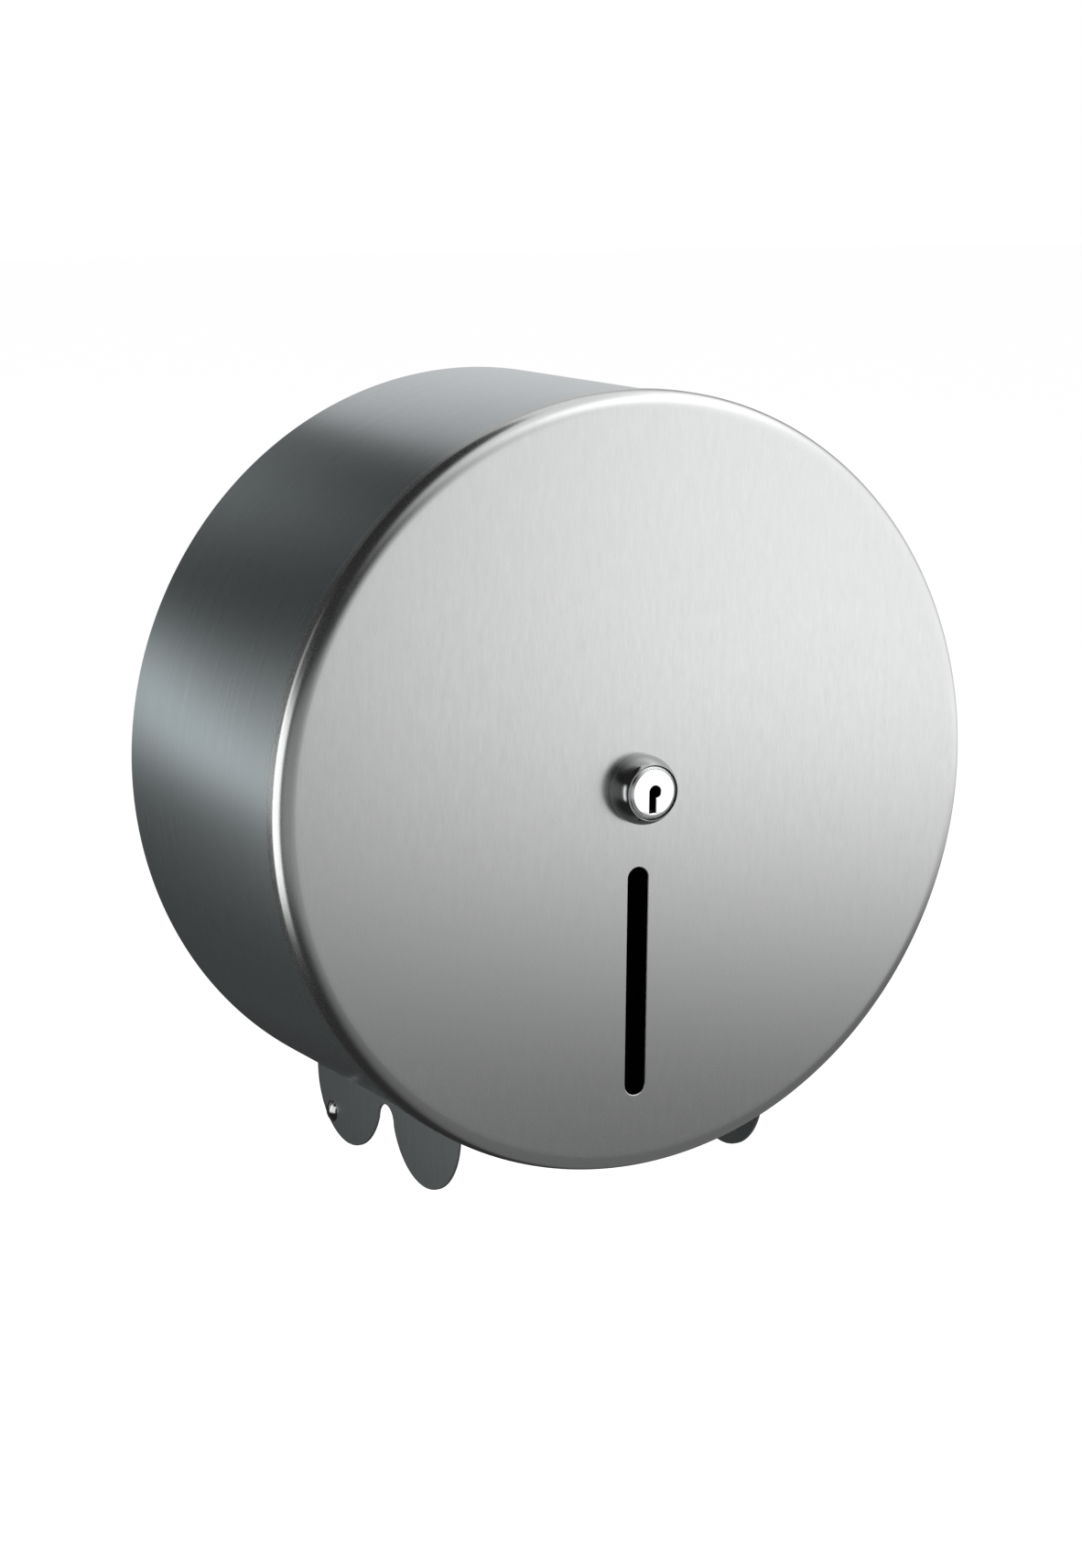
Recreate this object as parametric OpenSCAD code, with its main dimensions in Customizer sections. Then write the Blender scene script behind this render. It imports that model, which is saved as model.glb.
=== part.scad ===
// Jumbo toilet roll dispenser: a sheet steel drum on the wall, with a hinged,
// centre-locked front cover, a hub for the roll and two lobed tear plates below.
// Frame: +Z up, the front faces -Y. The origin is on the drum's axis, at the wall.
// Outlines are drawn in X and Z, and depths count forward from the wall.

/* [Drum and cover] */
// Outside diameter of the front cover
cover_d = 270; // [250:1:320]
// Depth from the wall to the front face
depth = 125; // [115:1:150]
// Thickness of the steel sheet
sheet_t = 1; // [0.8:0.1:1.5]
// Outer radius of the bend round the cover
rim_r = 6; // [3:0.5:8]
// Height of the cover's rim, from its face to its rear edge
skirt_h = 10; // [9:0.5:14]
// Gap between the cover's rim and the drum
cover_gap = 0.3; // [0.2:0.1:0.8]
// Width of the lip turned in round the drum's front edge
lip_w = 8; // [7.5:0.5:12]
// Gap between that lip and the closed cover
lip_gap = 0.4; // [0.3:0.1:1]

/* [Back pan] */
// Height of the rim that joins the pan to the drum
pan_rim_h = 11; // [8:0.5:13]
// Outer radius of the pan's bend
pan_r = 3; // [2:0.5:5]
// Gap between the pan's rim and the drum
pan_gap = 0.05; // [0.02:0.01:0.1]
// Distance between the wall screws, across and up
wall_hole_pitch = 120; // [90:1:124]
// Diameter of the holes for the wall screws
wall_hole_d = 6; // [4:0.5:8]

/* [Viewing slot] */
// Width of the slot
slot_w = 8; // [6:0.5:14]
// Distance from the axis down to the slot's top end
slot_top = 27.5; // [22:0.5:40]
// Distance from the axis down to the slot's bottom end
slot_bottom = 108; // [80:1:112]

/* [Paper outlet] */
// Width of the opening under the drum
outlet_w = 68; // [60:1:80]
// Drum left standing between the cover's face and the outlet
outlet_front = 15; // [14:0.5:24]
// Drum left standing between the outlet and the wall
outlet_rear = 14; // [14:0.5:24]

/* [Tear plates] */
// Distance between the two plates
plate_span = 121; // [112:1:123]
// Height of the lobes, from the drum down to their tips
lobe_h = 24.6; // [22:0.2:28]
// Width of each lobe, from front to back
lobe_w = 51; // [48:0.2:52]
// Distance from the wall to the plates
plate_back_gap = 0.4; // [0.2:0.1:1]
// Gap between the plates and the cover's rim
plate_front_gap = 3.5; // [2.5:0.1:4.5]
// Distance from the drum down to the centre of the arch between the lobes
arch_drop = 8.6; // [6:0.2:10]

/* [Plate brackets] */
// Width of each bracket
bracket_w = 9; // [8:0.5:12]
// Distance from the middle of the outlet out to the bracket's foot
foot_in = 45; // [42:0.5:50]
// Distance from the wall to the rivet through plate and bracket
plate_rivet_a = 12.8; // [11:0.1:15]
// Distance from the drum's edge at the plate down to the rivet
plate_rivet_drop = 15.8; // [14:0.2:17]
// Radius of the rivets' shanks
plate_rivet_r = 1.8; // [1.4:0.1:2.2]
// Radius of the rivets' heads
plate_rivet_head_r = 4; // [3.4:0.1:4.4]
// Height of the rivets' heads
plate_rivet_head_h = 1.9; // [1:0.1:2.4]

/* [Spindle] */
// Outside radius of the fixed spindle tube
tube_r = 15; // [14.6:0.1:16]
// Wall of the spindle tube
tube_t = 1.5; // [1:0.1:1.6]
// Radius of the spindle's base flange
base_r = 32; // [30:0.5:40]
// Thickness of the base flange
base_t = 3; // [2:0.5:4]
// Length of the spigot inside the tube
spigot_h = 10; // [8:0.5:16]
// Gap between the spigot and the tube
spigot_gap = 0.05; // [0.02:0.01:0.1]
// Radius of the circle of base rivets
base_rivet_ring_r = 26; // [24.5:0.5:27]
// Radius of the base rivets' shanks
base_rivet_r = 2; // [1.5:0.1:2.5]
// Radius of the base rivets' heads
base_rivet_head_r = 3.4; // [2.8:0.1:3.6]
// Height of the base rivets' heads
base_rivet_head_h = 0.9; // [0.6:0.1:0.9]
// Radius of the two pins through the tube and spigot
cross_pin_r = 1.5; // [1:0.1:2]
// Radius of the keeper plate at the tube's front end
keeper_r = 17.5; // [16.6:0.1:19]
// Thickness of the keeper plate
keeper_t = 1.6; // [1.2:0.1:2.5]

/* [Roll hub] */
// Radius of the hub that carries the roll's core
hub_r = 22; // [20.5:0.5:26]
// Wall of the hub's inner and outer sleeves
hub_wall = 2; // [1.5:0.1:2.4]
// Number of ribs between the sleeves
hub_ribs = 6; // [3:1:12]
// Thickness of the ribs
rib_w = 1.6; // [1:0.1:2.4]
// Radius of the hub's rear flange
hub_flange_r = 38; // [33:0.5:45]
// Thickness of the rear flange
hub_flange_t = 2; // [1.5:0.5:4]
// Lead-in at the hub's front edge
hub_lead = 1.6; // [0.8:0.2:1.8]
// Running gap between the hub and the tube
hub_gap = 0.08; // [0.03:0.01:0.1]
// Thickness of the thrust washers
thrust_t = 1; // [0.8:0.1:1.5]
// How far the thrust washers stand out past the keeper plate
thrust_out = 1.5; // [0.5:0.1:2]
// End play on each side of the hub
hub_play = 0.2; // [0.1:0.05:0.4]

/* [Lock] */
// Height of the lock in front of the face
lock_proud = 9.4; // [8:0.1:12]
// Depth of the lock barrel behind the face
lock_behind = 20; // [16:0.5:24]
// Radius of the lock barrel
barrel_r = 8; // [7.4:0.1:8.4]
// Gap round the barrel and the head
barrel_gap = 0.1; // [0.05:0.05:0.2]
// Radius of the bezel's base
bezel_base_r = 12.1; // [11.6:0.1:14]
// Radius of the bezel's front edge
bezel_front_r = 9.7; // [9.7:0.1:10.6]
// Radius of the lock's serrated head
head_r = 9.4; // [9.2:0.1:9.5]
// Thickness of the lock's serrated head
head_t = 3.4; // [3.2:0.1:4.5]
// Number of serrations round the head
head_teeth = 72; // [48:6:90]
// Depth of the serrations
serration_h = 0.45; // [0.2:0.05:0.5]
// Height of the bezel's plain foot
bezel_land = 2; // [0.6:0.1:3]
// Height of the lock's face in front of the bezel
head_proud = 0.3; // [0.1:0.1:0.8]
// Radius of the plug's round face
plug_face_r = 8.2; // [7.6:0.1:8.3]
// Thickness of the plug's round face
plug_face_t = 2.6; // [2:0.1:2.8]
// Radius of the plug inside the barrel
plug_r = 6.4; // [5.6:0.1:6.6]
// Running gap round the plug
plug_gap = 0.06; // [0.03:0.01:0.1]
// Radius of the round part of the keyhole
key_r = 2.2; // [1.8:0.1:2.6]
// Width of the keyhole's leg
key_leg_w = 2.6; // [2:0.1:3]
// Distance from the axis down to the end of the leg
key_leg_end = 7; // [5:0.1:7.2]
// Depth of the keyhole
key_depth = 14; // [8:1:14]
// Thickness of the lock washer
lock_washer_t = 0.8; // [0.5:0.1:1.5]
// Width across the lock nut's flats
lock_nut_af = 22; // [21:0.5:28]
// Thickness of the lock nut
lock_nut_t = 4; // [3:0.5:6]

/* [Cam] */
// Radius of the plug's round tail
tail_r = 4; // [3.8:0.1:4.5]
// Width across the flats of the tail's square end
tail_af = 5.4; // [5:0.1:5.6]
// Width of the cam's arm
cam_w = 8; // [6.5:0.1:8.4]
// Distance from the axis to the cam's tip
cam_reach = 11.8; // [11:0.1:12]
// Thickness of the cam
cam_t = 2; // [1.5:0.1:3]
// Radius of the cam's round end
cam_eye_r = 5.5; // [5:0.1:5.6]
// Gap round the cam in the keeper's slot
cam_side_gap = 1.1; // [1:0.05:1.2]
// Gap in front of and behind the keeper plate
keeper_gap = 1; // [0.8:0.1:1.5]
// Radius of the cam screw's shank
cam_screw_r = 1.8; // [1.4:0.1:2]
// Radius of the cam screw's head
cam_screw_head_r = 3.6; // [3:0.1:4]
// Height of the cam screw's head
cam_screw_head_h = 2.2; // [1.5:0.1:3]
// Length of the cam screw's shank
cam_screw_h = 7; // [6:0.5:9]

/* [Hinge] */
// Height of the hinge
hinge_h = 36; // [30:1:48]
// Radius of the hinge's knuckles
knuckle_r = 3; // [2.6:0.1:3.2]
// Distance from the cover's rim to the hinge's axis
hinge_out = 3.6; // [3.5:0.1:4.5]
// Distance from the rim's rear edge back to the hinge's axis
hinge_back = 7; // [6.5:0.1:9]
// Radius of the hinge pin
pin_r = 1.5; // [1.2:0.1:1.7]
// Radius of the hinge pin's heads
pin_head_r = 2.4; // [2:0.1:2.6]
// Thickness of the hinge pin's heads
pin_head_h = 0.8; // [0.5:0.1:1.2]
// Running gap between the pin and the cover's knuckle
pin_gap = 0.05; // [0.03:0.01:0.1]
// Gap between neighbouring knuckles
knuckle_gap = 0.4; // [0.3:0.1:0.8]
// Height of the cover's middle knuckle
knuckle_mid_h = 16; // [12:1:20]
// Thickness of the hinge leaves
leaf_t = 1.2; // [1:0.1:1.5]
// Length of the body leaf behind the axis
leaf_len = 34; // [28:1:40]
// Distance from the hinge's middle up and down to the rivets
hinge_rivet_z = 11; // [8:0.5:12]
// Radius of the hinge rivets' shanks
hinge_rivet_r = 1.6; // [1.3:0.1:1.8]
// Radius of the hinge rivets' heads
hinge_rivet_head_r = 3; // [2.6:0.1:3.2]
// Height of the hinge rivets' heads
hinge_rivet_head_h = 1.2; // [0.8:0.1:1.6]

/* [Hidden] */
$fn = 96;
// Overlap of a cut past the face that it opens, and of solids that join
over = 1;
// Play of a rivet or pin in its hole, and between parts clamped together
snug = 0.02;
// Spread and height of a rivet's flattened tail
tail = 0.8;
// Least wall left round the keyhole
key_wall = 0.6;
// Room left past the end of the cam screw
end_gap = 0.5;
steel = [0.72, 0.73, 0.73];
dark_steel = [0.33, 0.36, 0.37];
chrome = [0.86, 0.87, 0.89];
zinc = [0.62, 0.64, 0.66];
nylon = [0.88, 0.88, 0.86];

// Radii of the cover, drum and pan
cover_r = cover_d / 2;
drum_r = cover_r - sheet_t - cover_gap;
drum_in_r = drum_r - sheet_t;
pan_out_r = drum_in_r - pan_gap;
// The drum's front edge is bent to nest inside the cover's bend
lip_r = rim_r - sheet_t;

// Depths forward of the wall
cover_back = depth - sheet_t;
skirt_a = depth - skirt_h;
drum_front = cover_back - lip_gap;

// Tear plates: they stand under the drum, one each side of its outlet
plate_in_x = plate_span / 2;
plate_x = plate_in_x + sheet_t;
strap_in_x = plate_in_x - sheet_t;
plate_top = -sqrt(drum_r ^ 2 - plate_x ^ 2);
plate_back = plate_back_gap;
plate_front = skirt_a - plate_front_gap;
rear_lobe_a = plate_back + lobe_w / 2;
front_lobe_a = plate_front - lobe_w / 2;
// The arch between the lobes meets their flanks at the height of its centre
arch_a = (rear_lobe_a + front_lobe_a) / 2;
arch_r = (front_lobe_a - rear_lobe_a) / 2 - lobe_w / 2 * sqrt(1 - (arch_drop / lobe_h) ^ 2);
plate_rivet_z = plate_top - plate_rivet_drop;

// Lock and keeper, from the face backwards
lock_front = depth + lock_proud;
head_back = lock_front - head_t;
barrel_back = depth - lock_behind;
keeper_front = barrel_back - keeper_gap;
keeper_back = keeper_front - keeper_t;
cam_front = keeper_back - keeper_gap;
cam_back = cam_front - cam_t;
keeper_hole_r = cam_eye_r + cam_side_gap;
plug_seat = lock_front - plug_face_t;
// The keyhole's round part stands a little off the axis
key_centre_x = 0.6;
key_centre_z = 0.3;

// Spindle, from the wall forwards
base_back = sheet_t;
base_front = base_back + base_t;
tube_in_r = tube_r - tube_t;
washer_r = keeper_r + thrust_out;
hub_back = base_front + thrust_t + hub_play;
hub_front = keeper_back - thrust_t - hub_play;
hub_in_r = tube_r + hub_gap;

// Hinge
hinge_x = cover_r + hinge_out;
hinge_a = skirt_a - hinge_back;
pin_seat_r = pin_r + snug;
knuckle_end_h = (hinge_h - knuckle_mid_h) / 2 - knuckle_gap;
leaf_in_r = drum_r + snug;
leaf_front = hinge_a - knuckle_r - knuckle_gap;
leaf_back = hinge_a - leaf_len;
hinge_rivet_a = (leaf_front + leaf_back) / 2;
// How far out the rivets' tails and heads seat, where the drum curves away
rivet_in = sqrt(drum_in_r ^ 2 - (hinge_rivet_z + hinge_rivet_r + tail) ^ 2);
rivet_out = sqrt((leaf_in_r + leaf_t) ^ 2 - (hinge_rivet_z - hinge_rivet_head_r) ^ 2) + snug;

// Places an X-Z outline between two depths in front of the wall
module slab(from, to) {
    rotate([90, 0, 0])
        translate([0, 0, from])
            linear_extrude(to - from)
                children();
}

// Turns an outline of radius and depth about the drum's axis
module turned() {
    rotate([90, 0, 0])
        rotate_extrude($fn = 240)
            children();
}

module ring(inner, outer, from, to) {
    slab(from, to)
        difference() {
            circle(outer);
            circle(inner);
        }
}

// A rectangle from x0 to x1 and y0 to y1
module area(x0, x1, y0, y1) {
    translate([x0, y0])
        square([x1 - x0, y1 - y0]);
}

// A rectangle whose far corner is an arc
module round_corner_area(x0, x1, y0, y1, r) {
    area(x0, x1 - r, y0, y1);
    area(x0, x1, y0, y1 - r);
    intersection() {
        translate([x1 - r, y1 - r])
            circle(r);
        area(x1 - r, x1, y1 - r, y1);
    }
}

module mirror_if(flip) {
    mirror([flip ? 1 : 0, 0, 0])
        children();
}

// A low round rivet head, turned, from radius 0 to r and height h
module dome_outline(r, h) {
    dome_r = (r ^ 2 + h ^ 2) / (2 * h);
    intersection() {
        translate([0, h - dome_r])
            circle(dome_r);
        area(0, r, 0, h);
    }
}

module wall_holes() {
    for (x = [-1, 1])
        for (z = [-1, 1])
            translate([x, z] * wall_hole_pitch / 2)
                circle(d = wall_hole_d);
}

module base_rivet_places() {
    for (i = [0:3])
        rotate([0, 45 + i * 90, 0])
            translate([base_rivet_ring_r, 0, 0])
                children();
}

// Pressed pan against the wall, welded inside the drum by its rim
module back_pan() {
    inner_bend = pan_r - sheet_t;
    color(steel)
        difference() {
            turned()
                difference() {
                    union() {
                        area(0, pan_out_r, pan_r, pan_rim_h);
                        area(0, pan_out_r - pan_r, 0, pan_rim_h);
                        translate([pan_out_r - pan_r, pan_r])
                            circle(pan_r);
                    }
                    area(-over, pan_out_r - sheet_t, sheet_t + inner_bend, pan_rim_h + over);
                    area(-over, pan_out_r - sheet_t - inner_bend, sheet_t, pan_rim_h + over);
                    translate([pan_out_r - sheet_t - inner_bend, sheet_t + inner_bend])
                        circle(inner_bend);
                    area(-pan_r - over, 0, -over, pan_rim_h + over);
                }
            slab(-over, sheet_t + over)
                wall_holes();
            base_rivet_places()
                slab(-over, sheet_t + over)
                    circle(base_rivet_r + snug);
        }
}

// Drum with a lip turned in at the front and the paper outlet cut below
module drum_wall() {
    color(steel)
        difference() {
            turned()
                difference() {
                    round_corner_area(drum_r - lip_w, drum_r, 0, drum_front, lip_r);
                    area(0, drum_in_r, -over, drum_front - lip_r);
                    area(0, drum_r - lip_r, -over, drum_front - sheet_t);
                    translate([drum_r - lip_r, drum_front - lip_r])
                        circle(lip_r - sheet_t);
                }
            slab(outlet_rear, depth - outlet_front)
                area(-outlet_w / 2, outlet_w / 2, -drum_r - over, 0);
            for (z = [-1, 1])
                hinge_rivet_hole(z);
        }
}

// Places an outline of depth and height between two distances to the right
module upright(from, to) {
    translate([to, 0, 0])
        rotate([90, 0, -90])
            linear_extrude(to - from)
                children();
}

// Outline of a tear plate in depth and height: two half ellipses and the arch
module plate_outline() {
    difference() {
        union() {
            for (a = [rear_lobe_a, front_lobe_a])
                intersection() {
                    translate([a, plate_top])
                        scale([lobe_w / 2, lobe_h])
                            circle(1, $fn = 240);
                    area(plate_back, plate_front, plate_top - lobe_h - over, plate_top + over);
                }
            area(rear_lobe_a, front_lobe_a, plate_top - arch_drop, plate_top);
            area(plate_back, plate_front, plate_top, 0);
        }
        translate([arch_a, plate_top - arch_drop])
            circle(arch_r);
        plate_rivet_hole();
    }
}

module plate_rivet_hole() {
    translate([plate_rivet_a, plate_rivet_z])
        circle(plate_rivet_r + snug);
}

// Plate beside the outlet, welded to the drum along its top
module tear_plate(flip) {
    color(dark_steel)
        mirror_if(flip)
            difference() {
                upright(plate_in_x, plate_x)
                    plate_outline();
                slab(-over, depth)
                    circle(drum_r, $fn = 240);
            }
}

// Strap inside a plate, bent to a foot that is welded along the drum
module plate_bracket(flip) {
    half = bracket_w / 2;
    color(dark_steel)
        mirror_if(flip)
            difference() {
                union() {
                    upright(strap_in_x, plate_in_x)
                        difference() {
                            union() {
                                area(plate_rivet_a - half, plate_rivet_a + half, plate_rivet_z, 0);
                                translate([plate_rivet_a, plate_rivet_z])
                                    circle(half);
                            }
                            plate_rivet_hole();
                        }
                    slab(plate_rivet_a - half, plate_rivet_a + half)
                        intersection() {
                            circle(drum_r + sheet_t, $fn = 240);
                            area(foot_in, plate_in_x, -drum_r - over, 0);
                        }
                }
                slab(-over, depth)
                    circle(drum_r, $fn = 240);
            }
}

// Rivet through each plate and its bracket, with a round head outside
module plate_rivets() {
    color(chrome)
        for (flip = [false, true])
            mirror_if(flip)
                translate([0, -plate_rivet_a, plate_rivet_z])
                    rotate([0, 90, 0])
                        rotate_extrude() {
                            area(0, plate_rivet_r, strap_in_x - tail, plate_x + plate_rivet_head_h / 2);
                            area(0, plate_rivet_r + tail, strap_in_x - tail, strap_in_x - snug);
                            translate([0, plate_x + snug])
                                dome_outline(plate_rivet_head_r, plate_rivet_head_h);
                        }
}

// Round flange and spigot that carry the spindle tube
module spindle_base() {
    color(zinc)
        difference() {
            turned() {
                area(0, base_r, base_back, base_front);
                area(0, tube_in_r - spigot_gap, base_back, base_front + spigot_h);
            }
            base_rivet_places()
                slab(0, base_front + over)
                    circle(base_rivet_r + snug);
            cross_pins(cross_pin_r + snug, tube_r + over);
        }
}

// Rivets that hold the base to the pan, flush at the wall
module base_rivets() {
    color(zinc)
        base_rivet_places()
            rotate([90, 0, 0])
                rotate_extrude() {
                    area(0, base_rivet_r, 0, base_front + base_rivet_head_h / 2);
                    translate([0, base_front])
                        dome_outline(base_rivet_head_r, base_rivet_head_h);
                }
}

// A pin from each side, through the tube's wall into the spigot
module cross_pins(r, reach) {
    for (side = [0, 180])
        rotate([0, side, 0])
            translate([tube_in_r / 2, -base_front - spigot_h / 2, 0])
                rotate([0, 90, 0])
                    cylinder(r = r, h = reach - tube_in_r / 2, $fn = 32);
}

module spindle_pins() {
    color(zinc)
        intersection() {
            cross_pins(cross_pin_r, tube_r + over);
            slab(base_front, base_front + spigot_h)
                circle(tube_r - snug);
        }
}

module spindle_tube() {
    color(zinc)
        difference() {
            ring(tube_in_r, tube_r, base_front, keeper_back);
            cross_pins(cross_pin_r + snug, tube_r + over);
        }
}

// Plate that the cam turns behind, welded to the tube's front end
module keeper_plate() {
    slot_half = cam_w / 2 + cam_side_gap;
    slot_end = cam_reach + cam_side_gap;
    color(zinc)
        slab(keeper_back, keeper_front)
            difference() {
                circle(keeper_r);
                circle(keeper_hole_r);
                intersection() {
                    area(-slot_half, slot_half, -slot_end, 0);
                    circle(slot_end);
                }
            }
}

module thrust_washer(back) {
    color(nylon)
        ring(tube_r + hub_gap, washer_r, back, back + thrust_t);
}

// Moulded hub that turns on the tube and carries the roll's core
module roll_hub() {
    inner_r = hub_in_r + hub_wall;
    outer_in_r = hub_r - hub_wall;
    color(nylon) {
        turned() {
            area(hub_in_r, inner_r, hub_back, hub_front);
            area(hub_in_r, hub_flange_r, hub_back, hub_back + hub_flange_t);
            polygon([[outer_in_r, hub_back], [hub_r, hub_back], [hub_r, hub_front - hub_lead],
                     [hub_r - hub_lead, hub_front], [outer_in_r, hub_front]]);
        }
        for (i = [0 : hub_ribs - 1])
            rotate([0, i * 360 / hub_ribs, 0])
                slab(hub_back, hub_front - hub_lead)
                    area(inner_r - hub_wall / 2, outer_in_r + hub_wall / 2, -rib_w / 2, rib_w / 2);
    }
}

// Places a vertical cylinder on the hinge's axis
module on_hinge(r, low, high) {
    translate([hinge_x, -hinge_a, low])
        cylinder(r = r, h = high - low, $fn = 48);
}

module hinge_rivet_hole(z) {
    inside = rivet_in - over;
    translate([inside, -hinge_rivet_a, z * hinge_rivet_z])
        rotate([0, 90, 0])
            cylinder(r = hinge_rivet_r + snug, h = rivet_out + over - inside, $fn = 32);
}

// Leaf riveted to the drum, bent to its radius, with the two end knuckles
module body_hinge_leaf() {
    half = hinge_h / 2;
    mid_half = knuckle_mid_h / 2 + knuckle_gap;
    strap_x = drum_r + snug;
    color(steel)
        difference() {
            union() {
                intersection() {
                    ring(leaf_in_r, leaf_in_r + leaf_t, leaf_back, leaf_front);
                    translate([drum_r / 2, -leaf_front - over, -half])
                        cube([drum_r, leaf_front - leaf_back + 2 * over, hinge_h]);
                }
                for (side = [-1, 1])
                    translate([0, 0, side * (half - knuckle_end_h / 2)])
                        leaf_strap(strap_x, knuckle_end_h);
                on_hinge(knuckle_r, half - knuckle_end_h, half);
                on_hinge(knuckle_r, -half, -half + knuckle_end_h);
            }
            on_hinge(pin_seat_r, -half - over, half + over);
            for (z = [-1, 1])
                hinge_rivet_hole(z);
            translate([drum_r - over, -hinge_a - knuckle_r - knuckle_gap, -mid_half])
                cube([hinge_x, 2 * (knuckle_r + knuckle_gap), 2 * mid_half]);
        }
}

// Strap from the leaf forward to a knuckle
module leaf_strap(x, h) {
    difference() {
        translate([x, -hinge_a, -h / 2])
            cube([hinge_x - x, hinge_a - leaf_front + over, h]);
        translate([x + leaf_t, -hinge_a + knuckle_r, -h])
            cube([hinge_x, hinge_a, 2 * h]);
    }
}

// Pin with a flat head at each end
module hinge_pin() {
    half = hinge_h / 2;
    color(zinc) {
        on_hinge(pin_r, -half - pin_head_h, half + pin_head_h);
        on_hinge(pin_head_r, half + snug, half + pin_head_h);
        on_hinge(pin_head_r, -half - pin_head_h, -half - snug);
    }
}

// Rivets through the body leaf and the drum
module hinge_rivets() {
    color(zinc)
        for (z = [-1, 1])
            translate([0, -hinge_rivet_a, z * hinge_rivet_z])
                rotate([0, 90, 0])
                    rotate_extrude($fn = 32) {
                        area(0, hinge_rivet_r, rivet_in - tail, rivet_out + hinge_rivet_head_h / 2);
                        area(0, hinge_rivet_r + tail, rivet_in - tail, rivet_in);
                        translate([0, rivet_out])
                            dome_outline(hinge_rivet_head_r, hinge_rivet_head_h);
                    }
}

// Leaf welded round the cover's rim, with the middle knuckle
module cover_hinge_leaf() {
    half = knuckle_mid_h / 2;
    strap_r = cover_r + snug;
    weld_a = depth - rim_r;
    color(steel)
        difference() {
            union() {
                intersection() {
                    ring(strap_r, strap_r + leaf_t, hinge_a, weld_a);
                    translate([cover_r / 2, -depth, -half])
                        cube([cover_r, depth, knuckle_mid_h]);
                }
                on_hinge(knuckle_r, -half, half);
            }
            on_hinge(pin_r + pin_gap, -half - over, half + over);
        }
}

// Pressed cover with a rolled edge, the viewing slot and the lock's hole
module front_cover() {
    inner_bend = rim_r - sheet_t;
    color(steel)
        difference() {
            turned()
                difference() {
                    round_corner_area(0, cover_r, skirt_a, depth, rim_r);
                    area(-over, cover_r - sheet_t, skirt_a - over, depth - rim_r);
                    area(-over, cover_r - rim_r, skirt_a - over, cover_back);
                    translate([cover_r - rim_r, depth - rim_r])
                        circle(inner_bend);
                }
            slab(cover_back - over, depth + over) {
                circle(barrel_r + barrel_gap);
                slot_outline();
            }
        }
}

module slot_outline() {
    end_r = slot_w / 2;
    area(-end_r, end_r, -slot_bottom + end_r, -slot_top - end_r);
    for (z = [-slot_bottom + end_r, -slot_top - end_r])
        translate([0, z])
            circle(end_r);
}

// Domed ring on the cover, recessed for the lock's head
module lock_bezel() {
    front = lock_front - head_proud;
    shoulder = depth + bezel_land;
    waist = bezel_base_r - bezel_front_r;
    dome_r = (waist ^ 2 + (front - shoulder) ^ 2) / (2 * waist);
    color(chrome)
        turned()
            difference() {
                union() {
                    area(0, bezel_base_r, depth, shoulder);
                    intersection() {
                        area(0, bezel_base_r, depth, front);
                        translate([bezel_base_r - dome_r, shoulder])
                            circle(dome_r);
                    }
                }
                area(-over, barrel_r + barrel_gap, depth - over, front + over);
                area(-over, head_r + barrel_gap, head_back - snug, front + over);
            }
}

// Lock casting: serrated head and barrel, bored for the plug
module lock_housing() {
    turn = 360 / head_teeth;
    root_r = head_r - serration_h;
    color(chrome)
        difference() {
            union() {
                slab(barrel_back, head_back)
                    circle(barrel_r);
                slab(head_back, lock_front)
                    polygon([for (i = [0 : head_teeth - 1], half = [0, 1])
                        let (r = half == 0 ? head_r : root_r, a = (i + half / 2) * turn)
                            [r * cos(a), r * sin(a)]]);
            }
            slab(plug_seat - plug_gap, lock_front + over)
                circle(plug_face_r + plug_gap);
            slab(barrel_back - over, lock_front)
                circle(plug_r + plug_gap);
        }
}

module lock_washer() {
    color(zinc)
        ring(barrel_r + barrel_gap, lock_nut_af / 2, cover_back - lock_washer_t, cover_back);
}

module lock_nut() {
    front = cover_back - lock_washer_t;
    color(zinc)
        slab(front - lock_nut_t, front)
            difference() {
                circle(d = lock_nut_af / cos(30), $fn = 6);
                circle(barrel_r + snug);
            }
}

module key_outline() {
    leg_x = key_centre_x - key_r;
    translate([key_centre_x, key_centre_z])
        circle(key_r);
    area(leg_x, leg_x + key_leg_w, -key_leg_end, key_centre_z);
}

// Turning plug: round face with the keyhole, barrel and squared tail
module lock_plug() {
    color(chrome)
        difference() {
            union() {
                slab(plug_seat, lock_front)
                    circle(plug_face_r);
                slab(barrel_back, plug_seat)
                    circle(plug_r);
                slab(cam_front, barrel_back)
                    circle(tail_r);
                slab(cam_back, cam_front)
                    square(tail_af, center = true);
            }
            slab(lock_front - key_depth, lock_front + over)
                intersection() {
                    key_outline();
                    circle(plug_face_r - key_wall);
                }
            slab(lock_front - key_depth, plug_seat)
                intersection() {
                    key_outline();
                    circle(plug_r - key_wall);
                }
            slab(cam_back - over, cam_back + cam_screw_h)
                circle(cam_screw_r + snug);
        }
}

// Flat cam on the tail: points down when open, to the left when locked
module lock_cam() {
    color(zinc)
        slab(cam_back, cam_front)
            difference() {
                union() {
                    circle(cam_eye_r);
                    intersection() {
                        area(-cam_w / 2, cam_w / 2, -cam_reach, 0);
                        circle(cam_reach);
                    }
                }
                square(tail_af + 2 * snug, center = true);
            }
}

module cam_screw() {
    color(zinc)
        turned() {
            area(0, cam_screw_r, cam_back, cam_back + cam_screw_h - end_gap);
            area(0, cam_screw_head_r, cam_back - cam_screw_head_h, cam_back);
        }
}

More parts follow.
